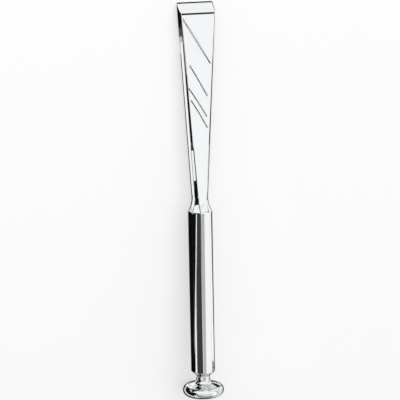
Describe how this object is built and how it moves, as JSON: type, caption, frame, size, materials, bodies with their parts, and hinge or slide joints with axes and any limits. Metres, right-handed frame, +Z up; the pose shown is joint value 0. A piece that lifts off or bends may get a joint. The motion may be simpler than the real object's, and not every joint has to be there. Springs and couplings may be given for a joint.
{
  "type": "bone chisel",
  "caption": "Surgical bone chisel with a flared blade bevelled on one side, an eight-sided handle and a mushroom head to strike.",
  "frame": {"origin": "on the surface that the chisel lies on, under the centre of its box", "axes": "+Z up with the chisel lying on its flat back, +Y along its length towards the cutting edge, +X to the right seen from above with the cutting edge away from the viewer. The chisel's own axis dips 2.49 degrees towards the edge, because the head is wider than the blade is thick"},
  "size_m": [0.0252, 0.24, 0.0252],
  "materials": {
    "stainless_steel": "polished"
  },
  "bodies": {
    "root": {"bone_chisel": "stainless_steel"}
  },
  "joints": []
}
